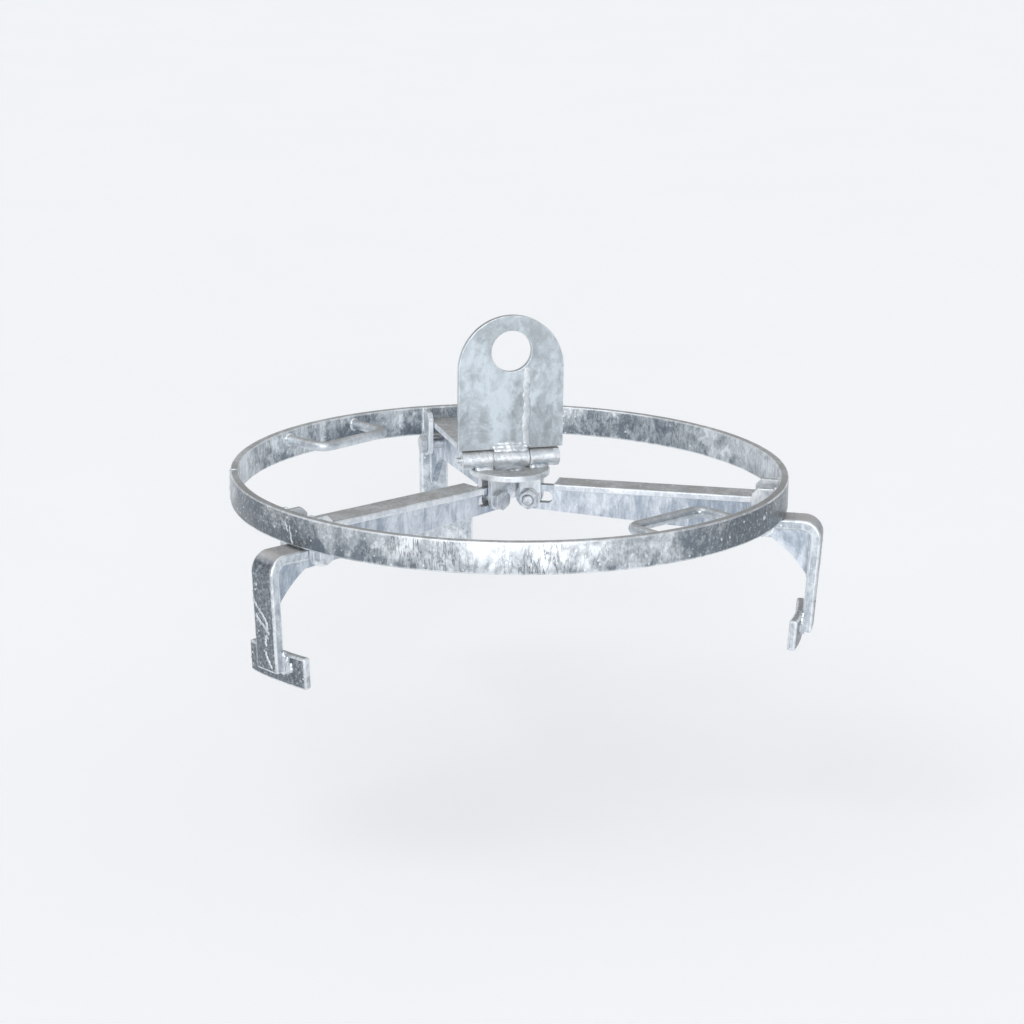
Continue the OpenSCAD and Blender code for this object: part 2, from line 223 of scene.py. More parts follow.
def crease_group():
    """Fern-like crinkles, as zinc leaves where it runs off and sets."""
    tree, given, made = new_tree("zinc_creases", "ShaderNodeTree",
                                 [("Coordinates", VECTOR, None), ("Scale", FLOAT, 190.0),
                                  ("Stretch", FLOAT, 0.2), ("Width", FLOAT, 0.05)], [("Mask", FLOAT)])
    place = stretched(tree, given)
    wander = add(tree, "ShaderNodeTexNoise", {"Vector": place, "Scale": 0.5, "Detail": 3.0}).outputs[1]
    place = vectors(tree, "ADD", place, vectors(tree, "MULTIPLY", wander, (2.2, 2.2, 2.2)))
    noise = add(tree, "ShaderNodeTexNoise", {"Vector": place, "Scale": 1.0, "Detail": 3.0,
                "Roughness": 0.6}).outputs[0]
    crest = maths(tree, "ABSOLUTE", maths(tree, "SUBTRACT", noise, 0.5))
    lines = ramp(tree, crest, 0.0, given["Width"], 1.0, 0.0)
    zones = add(tree, "ShaderNodeTexNoise", {"Vector": given["Coordinates"], "Scale": 15.0,
                "Detail": 1.0}).outputs[0]
    tree.links.new(maths(tree, "MULTIPLY", lines, ramp(tree, zones, 0.38, 0.58, 0.25, 1.0)), made["Mask"])
    return tree


def spangle_group():
    """Zinc crystals: patches that each take the light a little differently, and a fine grain."""
    tree, given, made = new_tree("zinc_spangle", "ShaderNodeTree",
                                 [("Coordinates", VECTOR, None), ("Scale", FLOAT, 160.0)],
                                 [("Shade", FLOAT), ("Grain", FLOAT)])
    wander = add(tree, "ShaderNodeTexNoise", {"Vector": given["Coordinates"], "Scale": 220.0,
                 "Detail": 3.0}).outputs[1]
    wobble = vectors(tree, "MULTIPLY", wander, (0.006, 0.006, 0.006))
    place = vectors(tree, "ADD", given["Coordinates"], wobble)
    cells = add(tree, "ShaderNodeTexVoronoi", {"Vector": place, "Scale": given["Scale"]})
    shade = add(tree, "ShaderNodeSeparateColor", {0: cells.outputs["Color"]}).outputs[0]
    tree.links.new(shade, made["Shade"])
    grain = add(tree, "ShaderNodeTexNoise", {"Vector": given["Coordinates"], "Scale": 340.0, "Detail": 3.0,
                "Roughness": 0.7}).outputs[0]
    tree.links.new(grain, made["Grain"])
    return tree


def spot_group():
    """Scattered beads of zinc."""
    tree, given, made = new_tree("zinc_spots", "ShaderNodeTree",
                                 [("Coordinates", VECTOR, None), ("Scale", FLOAT, 150.0),
                                  ("Share", FLOAT, 0.2)], [("Mask", FLOAT)])
    cells = add(tree, "ShaderNodeTexVoronoi", {"Vector": given["Coordinates"], "Scale": given["Scale"]})
    draw = add(tree, "ShaderNodeSeparateColor", {0: cells.outputs["Color"]}).outputs[1]
    chosen = maths(tree, "LESS_THAN", draw, given["Share"])
    dot = ramp(tree, cells.outputs["Distance"], 0.10, 0.26, 1.0, 0.0)
    tree.links.new(maths(tree, "MULTIPLY", dot, chosen), made["Mask"])
    return tree


CLOUDS = cloud_group()
CREASES = crease_group()
SPANGLE = spangle_group()
SPOTS = spot_group()

# Colours that the finishes share, as linear light
# SLATE is the tone of painted shade and of crease lines, the top colour is a painted dark reflection, and BRIGHT
# is that of zinc beads and of edges with zinc build-up and a painted highlight
SLATE = (0.085, 0.10, 0.115)
PAINTED_TOP_REFLECTION = (0.40, 0.395, 0.38)
BRIGHT = (0.84, 0.87, 0.90)


def zinc(name, light, dark, top=PAINTED_TOP_REFLECTION, cloud=38.0, level=0.5, stretch=0.8, crease=0.6, crease_scale=190.0,
         crease_stretch=0.2, spots=0.10, lift=0.0, grit=0.55, rough=(0.34, 0.50), relief=0.35):
    """A galvanised finish: frost on grey, crinkles, spangle, beads, rougher tops with a painted dark reflection,
    and edges with zinc build-up and a painted highlight.

    It gets painted shade where a face's shade is above 0 and a painted highlight where it is below.
    """
    material = bpy.data.materials.new(name)
    material.use_nodes = True
    tree = material.node_tree
    shader = tree.nodes["Principled BSDF"]
    place = add(tree, "ShaderNodeTexCoord").outputs["Object"]

    def effect(group, **inputs):
        """The outputs of a shared effect."""
        node = add(tree, "ShaderNodeGroup", node_tree=group)
        tree.links.new(place, node.inputs["Coordinates"])
        for key, value in inputs.items():
            node.inputs[key].default_value = value
        return node.outputs

    clouds = effect(CLOUDS, Scale=cloud, Stretch=stretch, Level=level, Spread=0.12)["Mask"]
    blotches = effect(CLOUDS, Scale=cloud * 3.7, Stretch=stretch, Level=0.52, Spread=0.10)["Mask"]
    creases = effect(CREASES, Scale=crease_scale, Stretch=crease_stretch, Width=0.045)["Mask"]
    spangle = effect(SPANGLE, Scale=170.0)
    beads = effect(SPOTS, Scale=170.0, Share=spots)["Mask"]
    upward = add(tree, "ShaderNodeAttribute", attribute_name="upward").outputs["Fac"]
    edge = add(tree, "ShaderNodeAttribute", attribute_name="edge").outputs["Fac"]
    shade = add(tree, "ShaderNodeAttribute", attribute_name="shade").outputs["Fac"]

    frost = maths(tree, "ADD", maths(tree, "MULTIPLY", clouds, 0.66), maths(tree, "MULTIPLY", blotches, 0.34))
    frost = maths(tree, "MULTIPLY_ADD", maths(tree, "SUBTRACT", spangle["Shade"], 0.5), 0.20, frost)
    grain = maths(tree, "SUBTRACT", spangle["Grain"], 0.5)
    frost = maths(tree, "MULTIPLY_ADD", grain, grit, frost)
    rise = maths(tree, "SUBTRACT", add(tree, "ShaderNodeSeparateXYZ", {0: place}).outputs[2], MID_RING)
    frost = maths(tree, "MULTIPLY_ADD", rise, lift, frost)
    # Painted shade lowers the frost where the shade attribute is above 0, and a painted highlight raises it below
    # 0
    frost = maths(tree, "SUBTRACT", frost, maths(tree, "MULTIPLY", shade, 0.5))
    colour = mixed(tree, frost, dark, light)
    # Painted shade: the colour goes over to slate, mottled by the zinc's grain
    painted_shade = maths(tree, "MULTIPLY", shade, maths(tree, "MULTIPLY_ADD", grain, -1.5, 0.68))
    colour = mixed(tree, painted_shade, colour, SLATE)
    flecks = maths(tree, "MULTIPLY", shade, ramp(tree, spangle["Grain"], 0.55, 0.70, 0.0, 0.45))
    colour = mixed(tree, flecks, colour, light)
    folds = maths(tree, "MULTIPLY", creases, maths(tree, "MULTIPLY_ADD", clouds, -0.3, 1.0))
    folds = maths(tree, "MULTIPLY", folds, ramp(tree, shade, -0.6, 0.7, 1.0, 0.2))
    colour = mixed(tree, maths(tree, "MULTIPLY", folds, crease), colour,
                   mixed(tree, ramp(tree, shade, 0.3, 0.8), SLATE, light))
    # Faces that look up: rougher zinc, and a painted dark, brownish reflection in their colour
    dull_tops_and_reflection = maths(tree, "MULTIPLY", upward, maths(tree, "MULTIPLY_ADD", blotches, -0.3, 0.95))
    colour = mixed(tree, dull_tops_and_reflection, colour, mixed(tree, spangle["Grain"], [0.72 * c for c in top],
                                                  [1.28 * c for c in top]))
    # Edges: zinc built up on them, and a painted highlight
    colour = mixed(tree, maths(tree, "MULTIPLY", edge, maths(tree, "MULTIPLY_ADD", blotches, 0.4, 0.45)),
                   colour, BRIGHT)
    colour = mixed(tree, maths(tree, "MULTIPLY", beads, 0.85), colour, BRIGHT)
    tree.links.new(colour, shader.inputs["Base Color"])

    gloss = ramp(tree, frost, 0.0, 1.0, rough[0], rough[1])
    gloss = maths(tree, "ADD", gloss, maths(tree, "MULTIPLY", dull_tops_and_reflection, 0.16))
    tree.links.new(gloss, shader.inputs["Roughness"])
    shader.inputs["Metallic"].default_value = 0.88

    swell = add(tree, "ShaderNodeTexNoise", {"Vector": place, "Scale": 75.0, "Detail": 2.0}).outputs[0]
    height = maths(tree, "MULTIPLY_ADD", swell, 1.3, maths(tree, "MULTIPLY", creases, -0.22))
    height = maths(tree, "MULTIPLY_ADD", beads, 0.9, height)
    height = maths(tree, "MULTIPLY_ADD", blotches, 0.22, height)
    bump = add(tree, "ShaderNodeBump", {"Strength": relief, "Distance": 0.0009, "Height": height})
    tree.links.new(bump.outputs[0], shader.inputs["Normal"])
    return material


STEEL = zinc("galvanised_steel", light=(0.78, 0.82, 0.86), dark=(0.44, 0.48, 0.52), crease=0.3)
RING = zinc("galvanised_ring", light=(0.86, 0.90, 0.93), dark=(0.20, 0.235, 0.27), cloud=24.0,
            crease=0.8, lift=15.0, grit=0.7, spots=0.2)
# A lighter copy of the zinc, standing as a painted highlight on the lugs, ears, hub disc and hinge tubes
HIGHLIT_ZINC = zinc("galvanised_highlit", light=(0.92, 0.94, 0.96), dark=(0.66, 0.71, 0.75), cloud=70.0,
           crease=0.2, spots=0.2, relief=0.5)
BAR = zinc("galvanised_bar", light=(0.92, 0.94, 0.97), dark=(0.62, 0.67, 0.73), cloud=60.0, crease=0.15)
WEB = zinc("galvanised_web", light=(0.79, 0.84, 0.90), dark=(0.36, 0.42, 0.50), cloud=46.0,
           stretch=0.3, crease=0.3)
# The claw's top colour is the painted reflection on its faces that look up
CLAW = zinc("galvanised_claw", light=(0.78, 0.83, 0.87), dark=(0.42, 0.47, 0.52), top=(0.56, 0.54, 0.52),
            crease=0.4, crease_scale=110.0, crease_stretch=0.5, grit=0.3)
PLATE = zinc("galvanised_plate", light=(0.66, 0.73, 0.78), dark=(0.38, 0.415, 0.44), cloud=24.0,
             level=0.54, crease=0.10, spots=0.02, lift=1.6, relief=0.18)
SHOE = zinc("galvanised_bright", light=(0.80, 0.84, 0.88), dark=(0.36, 0.40, 0.44), spots=0.25, crease=0.4)
FASTENER = zinc("zinc_fastener", light=(0.78, 0.81, 0.85), dark=(0.46, 0.49, 0.53), cloud=160.0,
                crease=0.15, spots=0.04, relief=0.15)
WELD = zinc("weld_zinc", light=(0.82, 0.85, 0.88), dark=(0.50, 0.54, 0.58), cloud=110.0,
            crease=0.15, spots=0.05, rough=(0.34, 0.46), relief=0.25)
RUN = zinc("zinc_run", light=(0.76, 0.80, 0.83), dark=(0.54, 0.58, 0.61), cloud=140.0, crease=0.05, spots=0.0,
           rough=(0.48, 0.58), relief=0.12)

# Finishes by material slot, and of the pieces that have one of their own
finish_of = {"galvanised_steel": STEEL, "galvanised_bright": SHOE, "zinc_fastener": FASTENER}
# The lugs, ears, hub disc and hinge tubes take the lighter copy of the zinc, a painted highlight
OWN_FINISH = {"lifting_plate": PLATE, "claw_bar": CLAW, "arm_web": WEB, "arm_flange": BAR, "lug": HIGHLIT_ZINC,
              "ear": HIGHLIT_ZINC, "hub_disc": HIGHLIT_ZINC, "hinge": HIGHLIT_ZINC}


# Pieces

def shown(name, mesh, body, slot, nodes=(), finish=None):
    """A finished piece in the scene: its body, its slot and the nodes it stands for."""
    piece = bpy.data.objects.new(name, mesh)
    bpy.context.scene.collection.objects.link(piece)
    mesh.materials.clear()
    mesh.materials.append(finish or finish_of[slot])
    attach(piece, body)
    if nodes:
        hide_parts(*nodes)
    return piece


def evaluated(name, mesh, add_modifiers):
    """The plain mesh that is left when modifiers have worked on a mesh."""
    holder = bpy.data.objects.new(name, mesh)
    bpy.context.scene.collection.objects.link(holder)
    add_modifiers(holder)
    bpy.context.view_layer.update()
    depsgraph = bpy.context.evaluated_depsgraph_get()
    made = bpy.data.meshes.new_from_object(holder.evaluated_get(depsgraph))
    bpy.data.objects.remove(holder)
    made.name = name
    return made


def mark(mesh, name, values):
    """A number on every face, which the finish reads."""
    mesh.attributes.new(name, "FLOAT", "FACE").data.foreach_set("value", values)


def mark_none(mesh, *names):
    """The number 0 on every face."""
    for name in names:
        mark(mesh, name, [0.0] * len(mesh.polygons))


def turn_outwards(mesh):
    """Makes all faces of a mesh look outwards."""
    shape = bmesh.new()
    shape.from_mesh(mesh)
    bmesh.ops.recalc_face_normals(shape, faces=shape.faces)
    shape.to_mesh(mesh)
    shape.free()


def mark_tops(mesh):
    """Marks the faces that look up, which get rougher zinc and a painted dark reflection."""
    mark(mesh, "upward", [min(1.0, max(0.0, (face.normal.z - 0.55) / 0.4)) for face in mesh.polygons])


# Points within MERGE are joined, bends under FLAT are taken out and edges over SHARP are rounded,
# except where they bound a face of a shoe that is thinner than SLIVER
MERGE = 2e-6
FLAT = math.radians(0.6)
SHARP = math.radians(28)
SLIVER = 0.5 * MM

# How far the edges of each kind of piece are rounded, in millimetres
ROUNDING = {"claw_bar": 2.2, "claw_shoe": 2.0, "arm_flange": 1.3, "arm_web": 0.9, "lifting_plate": 0.9,
            "lug": 0.9, "ear": 0.8, "hub_disc": 0.6, "hinge": 0.5, "handle": 0.6}


def thinness(face):
    """Width of a long narrow face."""
    return face.calc_area() / max(edge.calc_length() for edge in face.edges)


def rounded(node):
    """A copy of a node's solid with its edges rounded over by the zinc."""
    width = next(size for key, size in ROUNDING.items() if node.startswith(key)) * MM
    mesh = solids[node].data.copy()
    shape = bmesh.new()
    shape.from_mesh(mesh)
    bmesh.ops.remove_doubles(shape, verts=shape.verts, dist=MERGE)
    bmesh.ops.dissolve_limit(shape, angle_limit=FLAT, verts=shape.verts, edges=shape.edges)
    weight = shape.edges.layers.float.new("bevel_weight_edge")
    for edge in shape.edges:
        if edge.calc_face_angle(0.0) > SHARP:
            thin = node.startswith("claw_shoe") and min(thinness(face) for face in edge.link_faces) < SLIVER
            edge[weight] = 0.0 if thin else 1.0
            edge.smooth = not thin
    shape.to_mesh(mesh)
    shape.free()
    if "custom_normal" in mesh.attributes:
        mesh.attributes.remove(mesh.attributes["custom_normal"])
    mesh.shade_smooth()

    def bevel(holder):
        modifier = holder.modifiers.new("rounding", "BEVEL")
        modifier.width = width
        modifier.segments = 3
        modifier.limit_method = "WEIGHT"
        modifier.harden_normals = True
        modifier.material = 1

    mesh.materials.clear()
    mesh.materials.append(STEEL)
    mesh.materials.append(WELD)
    made = evaluated(node + "_zinc", mesh, bevel)
    mark_tops(made)
    # Bevel faces are marked as edges, which the finish lightens with a painted highlight over zinc build-up
    mark(made, "edge", [float(face.material_index == 1) for face in made.polygons])
    for face in made.polygons:
        face.material_index = 0
    return made


def paint_outer_shade(mesh, azimuth):
    """Marks the faces that look outwards along an arm with painted shade, which darkens their zinc."""
    out = turned(azimuth) @ Vector((1, 0, 0))
    facing = [face.normal.dot(out) for face in mesh.polygons]
    mark(mesh, "shade", [min(1.0, max(0.0, (share - 0.5) / 0.4)) for share in facing])


for node in sorted(solids):
    if any(node.startswith(key) for key in ROUNDING):
        made = rounded(node)
        # Claw bars and shoes get painted shade on their outer faces
        if node.startswith("claw_"):
            paint_outer_shade(made, arm_azimuth(int(node[-1])))
        finish = next((own for key, own in OWN_FINISH.items() if node.startswith(key)), None)
        shown(node + "_zinc", made, body_of[node], slot_of[node], [node], finish)


# The ring: a flat bar rolled to a circle, grown by a node tree

def growing_tree(name, inputs):
    """A geometry tree that takes a mesh, its own inputs and the finish of what it grows."""
    geometry = "NodeSocketGeometry"
    inputs = [("Geometry", geometry, None), *inputs, ("Finish", "NodeSocketMaterial", None)]
    return new_tree(name, "GeometryNodeTree", inputs, [("Geometry", geometry)])


def end_tree(tree, geometry, given, made):
    """The tree, ended with real geometry that has its finish."""
    real = add(tree, "GeometryNodeRealizeInstances", {"Geometry": geometry})
    done = add(tree, "GeometryNodeSetMaterial", {"Geometry": real.outputs[0], "Material": given["Finish"]})
    tree.links.new(done.outputs[0], made["Geometry"])
    return tree


def ring_tree():
    """Sweeps a flat bar with rounded edges round a circle, and lets it waver a little."""
    tree, given, made = growing_tree("rolled_bar", [("Radius", FLOAT, 0.26), ("Width", FLOAT, 0.008),
                                                    ("Height", FLOAT, 0.03), ("Rounding", FLOAT, 0.0015),
                                                    ("Waver", FLOAT, 0.0004)])
    path = add(tree, "GeometryNodeCurvePrimitiveCircle", {"Resolution": 480, "Radius": given["Radius"]})
    bar = add(tree, "GeometryNodeCurvePrimitiveQuadrilateral", {"Width": given["Width"],
              "Height": given["Height"]})
    soft = add(tree, "GeometryNodeFilletCurve", {"Curve": bar.outputs[0], "Count": 4,
               "Radius": given["Rounding"]}, mode="POLY")
    sweep = add(tree, "GeometryNodeCurveToMesh", {"Curve": path.outputs[0], "Profile Curve": soft.outputs[0]})
    spot = add(tree, "GeometryNodeInputPosition").outputs[0]
    noise = add(tree, "ShaderNodeTexNoise", {"Vector": spot, "Scale": 14.0, "Detail": 2.0}).outputs[1]
    drift = vectors(tree, "MULTIPLY", vectors(tree, "SUBTRACT", noise, (0.5, 0.5, 0.5)), (1.0, 1.0, 0.6))
    offset = add(tree, "ShaderNodeVectorMath", {0: drift, "Scale": given["Waver"]}, operation="SCALE")
    moved = add(tree, "GeometryNodeSetPosition", {"Geometry": sweep.outputs[0], "Offset": offset.outputs[0]})
    smooth = add(tree, "GeometryNodeSetShadeSmooth", {"Geometry": moved.outputs[0]})
    return end_tree(tree, smooth.outputs[0], given, made)


def grown(name, source, tree, **inputs):
    """The plain mesh that a node tree grows from a source mesh."""
    def grow(holder):
        modifier = holder.modifiers.new("grow", "NODES")
        modifier.node_group = tree
        for item in tree.interface.items_tree:
            if item.in_out == "INPUT" and item.name in inputs:
                modifier[item.identifier] = inputs[item.name]
    return evaluated(name, source, grow)


# Painted shade and a painted highlight round the ring: azimuth in degrees, how dark it is (below 0 a painted
# highlight), width in degrees
RING_PAINTED_LIGHT = ((-46, 1.0, 28), (199, 0.85, 25), (-104, -1.0, 31))


def ring_painted_light(azimuth):
    """How much painted light the ring gets: painted shade at the right and the left, and a painted highlight at
    the front.
    """
    total = 0.0
    for centre, depth, width in RING_PAINTED_LIGHT:
        off = (math.degrees(azimuth) - centre + 180) % 360 - 180
        total += depth * math.exp(-(off / width) ** 2)
    return max(-1.0, min(1.0, total))


def ring_mesh():
    """The ring at its place, with its weathered top and bright edges marked."""
    mesh = grown("ring_band_zinc", bpy.data.meshes.new("ring_start"), ring_tree(),
                 Radius=(RING_IN + RING_OUT) / 2, Width=RING_OUT - RING_IN, Height=RING_TOP - RING_LOW,
                 Rounding=1.6 * MM, Waver=0.5 * MM, Finish=RING)
    mesh.transform(Matrix.Translation((0, 0, MID_RING)))
    turn_outwards(mesh)
    mark_tops(mesh)
    slanted = [abs(face.normal.z) for face in mesh.polygons]
    # The ring's rounded corners are marked as edges, which get a painted highlight over zinc build-up
    mark(mesh, "edge", [float(0.15 < lean < 0.97) for lean in slanted])
    # Painted shade at the ring's sides and a painted highlight at its front, carried by the shade attribute
    mark(mesh, "shade", [ring_painted_light(math.atan2(face.center.y, face.center.x)) for face in mesh.polygons])
    return mesh


shown("ring_band_zinc", ring_mesh(), "ring", slot_of["ring_band"], ["ring_band"], RING)


# Bolts, washers and nuts: made once each, and set across every arm by a node tree

TURN = 72
THREAD_PITCH = 1.5 * MM
THREAD_DEPTH = 0.7 * MM
CHAMFER = math.tan(math.radians(30))
FACE_R = 0.95 * HEX_AF / 2
CORNER_R = 0.975 * HEX_AF / math.sqrt(3)
STEPS_PER_PITCH = 8
HEAD_LIP = 0.4 * MM
TIP_LENGTH = 0.6 * MM
TIP_INSET = 1.2 * MM
NUT_PLAY = 0.05 * MM
NUT_MOUTH = 0.7 * MM
NUT_MOUTH_DEPTH = 0.6 * MM
WASHER_PLAY = 0.25 * MM
WASHER_LIP = 0.35 * MM


def hexagon(angle):
    """Radius of a hexagon with slightly rounded corners, at an angle."""
    off = (angle + math.pi / 6) % (math.pi / 3) - math.pi / 6
    return min(HEX_AF / 2 / math.cos(off), CORNER_R)


def lathe(name, rings, hollow=False):
    """A turned shape. Each ring gives (radius, height) at an angle."""
    shape = bmesh.new()
    angles = [2 * math.pi * i / TURN for i in range(TURN)]
    rows = []
    for ring in rings:
        places = [(a, *ring(a)) for a in angles]
        rows.append([shape.verts.new((r * math.cos(a), r * math.sin(a), z)) for a, r, z in places])
    pairs = list(zip(rows, rows[1:] + rows[:1])) if hollow else list(zip(rows, rows[1:]))
    for low, high in pairs:
        for i in range(TURN):
            j = (i + 1) % TURN
            shape.faces.new((low[i], low[j], high[j], high[i]))
    if not hollow:
        shape.faces.new(rows[0])
        shape.faces.new(rows[-1])
    bmesh.ops.recalc_face_normals(shape, faces=shape.faces)
    mesh = bpy.data.meshes.new(name)
    shape.to_mesh(mesh)
    shape.free()
    return mesh


def even(radius, height):
    """A plain round ring for lathe()."""
    return lambda angle: (radius, height)


def hex_ring(height, bevel=0.0):
    """A six-sided ring for lathe(), sloped at its corners where bevel is 1 or -1."""
    return lambda angle: (hexagon(angle), height + bevel * (hexagon(angle) - FACE_R) * CHAMFER)


def thread(start, height):
    """A ring of a helical thread for lathe()."""
    def ring(angle):
        phase = ((height - start) / THREAD_PITCH - angle / (2 * math.pi)) % 1.0
        return BOLT_R - THREAD_DEPTH * (1 - abs(2 * phase - 1)), height
    return ring


def bolt_mesh(name, length):
    """A hexagon bolt along Z, with its head under 0 and a threaded end."""
    threaded = length - BOLT_OUT - NUT_H
    steps = int((length - threaded) / THREAD_PITCH * STEPS_PER_PITCH)
    rings = [even(FACE_R, -HEAD_H), hex_ring(-HEAD_H, 1), hex_ring(-HEAD_LIP),
             lambda angle: (hexagon(angle) - HEAD_LIP, 0.0), even(BOLT_R, 0.0), even(BOLT_R, threaded)]
    for i in range(1, steps + 1):
        height = threaded + (length - threaded - TIP_LENGTH) * i / steps
        rings.append(thread(threaded, height))
    rings.append(even(BOLT_R - TIP_INSET, length))
    return lathe(name, rings)


def nut_mesh(name):
    """A hexagon nut along Z, bevelled at both ends."""
    bore = BOLT_R + NUT_PLAY
    mouth = bore + NUT_MOUTH
    return lathe(name, [even(bore, NUT_MOUTH_DEPTH), even(mouth, 0.0), even(FACE_R, 0.0), hex_ring(0.0, 1),
                        hex_ring(NUT_H, -1), even(FACE_R, NUT_H), even(mouth, NUT_H),
                        even(bore, NUT_H - NUT_MOUTH_DEPTH)], hollow=True)


def washer_mesh(name):
    """A flat washer with rolled edges."""
    bore = BOLT_R + WASHER_PLAY
    lip = WASHER_LIP
    return lathe(name, [even(bore, lip), even(bore + lip, 0.0), even(WASHER_R - lip, 0.0),
                        even(WASHER_R, lip), even(WASHER_R, WASHER_T - lip), even(WASHER_R - lip, WASHER_T),
                        even(bore + lip, WASHER_T), even(bore, WASHER_T - lip)], hollow=True)


def setting_tree():
    """Sets a copy of one part at every point, turned by the point's own angles."""
    tree, given, made = growing_tree("set_across_arms", [("Part", "NodeSocketObject", None)])
    part = add(tree, "GeometryNodeObjectInfo", {"Object": given["Part"]})
    turn = add(tree, "GeometryNodeInputNamedAttribute", {"Name": "turn"}, data_type="FLOAT_VECTOR")
    copies = add(tree, "GeometryNodeInstanceOnPoints", {"Points": given["Geometry"],
                 "Instance": part.outputs["Geometry"], "Rotation": turn.outputs[0]})
    return end_tree(tree, copies.outputs[0], given, made)


SETTING = setting_tree()


def across_arms(name, radius, height, offset):
    """Points across the three arms, with the turn that lays a part's Z along the bolt."""
    mesh = bpy.data.meshes.new(name)
    places = [turned(arm_azimuth(k)) @ Vector((radius, -offset, height)) for k in ARMS]
    mesh.from_pydata(places, [], [])
    turns = [value for k in ARMS for value in (math.pi / 2, 0.0, arm_azimuth(k))]
    mesh.attributes.new("turn", "FLOAT_VECTOR", "POINT").data.foreach_set("vector", turns)
    return mesh


def fasteners(node, part, radius, height, offset):
    """One node's three fasteners."""
    master = bpy.data.objects.new("master", part)
    points = across_arms(node, radius, height, offset)
    mesh = grown(node + "_zinc", points, SETTING, Part=master, Finish=FASTENER)
    bpy.data.objects.remove(master)
    mesh.shade_smooth()
    mesh.set_sharp_from_angle(angle=SHARP)
    mark_tops(mesh)
    mark_none(mesh, "edge")
    shown(node + "_zinc", mesh, body_of[node], slot_of[node], [node])


for group, radius, height, face in (("pivot", PIVOT.y, PIVOT.z, -lug_lo.x),
                                    ("hub", HUB_PIN_R, HUB_PIN_Z, -ear_lo.x)):
    shank = 2 * face + WASHER_T + NUT_H + BOLT_OUT
    fasteners(group + "_bolts", bolt_mesh(group + "_bolt", shank), radius, height, -face)
    fasteners(group + "_washers", washer_mesh(group + "_washer"), radius, height, face)
    fasteners(group + "_nuts", nut_mesh(group + "_nut"), radius, height, face + WASHER_T)


# Weld beads: a rippled bead along each seam, grown by a node tree

# Radii of the beads
LUG_BEAD = 2.6 * MM
HANDLE_BEAD = 1.9 * MM
JOINT_BEAD = 1.5 * MM
BAR_BEAD = 1.7 * MM
CLAW_BEAD = 1.9 * MM
BAR_END_BEAD = 2.0 * MM
TUBE_BEAD = 3.0 * MM
EAR_BEAD = 1.7 * MM

# Where the welds lie
JOINT_AZ = math.radians(170)
JOINT_SINK = 0.8 * MM
LUG_WELD_LOW = 1.5 * MM
HANDLE_WELD_SINK = 0.6 * MM
HANDLE_WELD_STEPS = 24
BAR_WELD_STARTS = (0.03, 0.30, 0.56, 0.80)
BAR_WELD_SHARE = 0.13
BAR_END_HALF = 5 * MM
CLAW_WELD_IN = 6 * MM
TUBE_WELD_X = (19.5 * MM, 35.5 * MM)
TUBE_WELD_Y = 7.6 * MM
TUBE_WELD_RISE = 0.6 * MM
EAR_WELD_IN = 1 * MM
SHOE_WELD_SINK = 0.4 * MM

# Rows of a shoe's weld, in millimetres: out from the leg, back, start and stop above its end, radius
SHOE_ROWS = ((0.0, 0.0, 21, 0, 3.8), (3.6, 1.0, 17, 1, 3.4), (7.0, 2.4, 12, 3, 3.0))

# Rows of the plate's weld, in millimetres: height above the seam, left and right end, place out from
# the plate's face, radius
PLATE_ROWS = ((0.0, -17.0, 17.0, 0.6, 3.1), (3.4, -18.5, 19.86, -0.59, 2.76),
              (6.4, -15.5, 18.06, -1.64, 2.46))


def bead_tree():
    """Lays a rippled, lumpy bead along every line of a mesh, as thick as its points say."""
    tree, given, made = growing_tree("weld_bead", [("Pitch", FLOAT, 0.0025), ("Ripple", FLOAT, 0.1),
                                                   ("Lumps", FLOAT, 0.0012), ("Seed", FLOAT, 0.0)])
    line = add(tree, "GeometryNodeMeshToCurve", {"Mesh": given["Geometry"]})
    path = add(tree, "GeometryNodeResampleCurve", {"Curve": line.outputs[0], "Length": 0.0006}, mode="LENGTH")
    bead = add(tree, "GeometryNodeInputNamedAttribute", {"Name": "bead"}, data_type="FLOAT").outputs[0]
    run = add(tree, "GeometryNodeSplineParameter").outputs["Length"]
    turns = maths(tree, "DIVIDE", run, given["Pitch"])
    wave = maths(tree, "SINE", maths(tree, "MULTIPLY", turns, 2 * math.pi))
    size = maths(tree, "MULTIPLY", bead, maths(tree, "MULTIPLY_ADD", wave, given["Ripple"], 1.0))
    section = add(tree, "GeometryNodeCurvePrimitiveCircle", {"Resolution": 14, "Radius": 1.0})
    sweep = add(tree, "GeometryNodeCurveToMesh", {"Curve": path.outputs[0], "Scale": size,
                "Profile Curve": section.outputs[0], "Fill Caps": True})
    spot = vectors(tree, "ADD", add(tree, "GeometryNodeInputPosition").outputs[0],
                   add(tree, "ShaderNodeCombineXYZ", {0: given["Seed"]}).outputs[0])
    noise = add(tree, "ShaderNodeTexNoise", {"Vector": spot, "Scale": 130.0, "Detail": 2.0}).outputs[0]
    rise = maths(tree, "MULTIPLY", maths(tree, "SUBTRACT", noise, 0.5), given["Lumps"])
    normal = add(tree, "GeometryNodeInputNormal").outputs[0]
    push = add(tree, "ShaderNodeVectorMath", {0: normal, "Scale": rise}, operation="SCALE").outputs[0]
    lumpy = add(tree, "GeometryNodeSetPosition", {"Geometry": sweep.outputs[0], "Offset": push})
    smooth = add(tree, "GeometryNodeSetShadeSmooth", {"Geometry": lumpy.outputs[0]})
    return end_tree(tree, smooth.outputs[0], given, made)


BEAD = bead_tree()
END_TAPER = 0.72


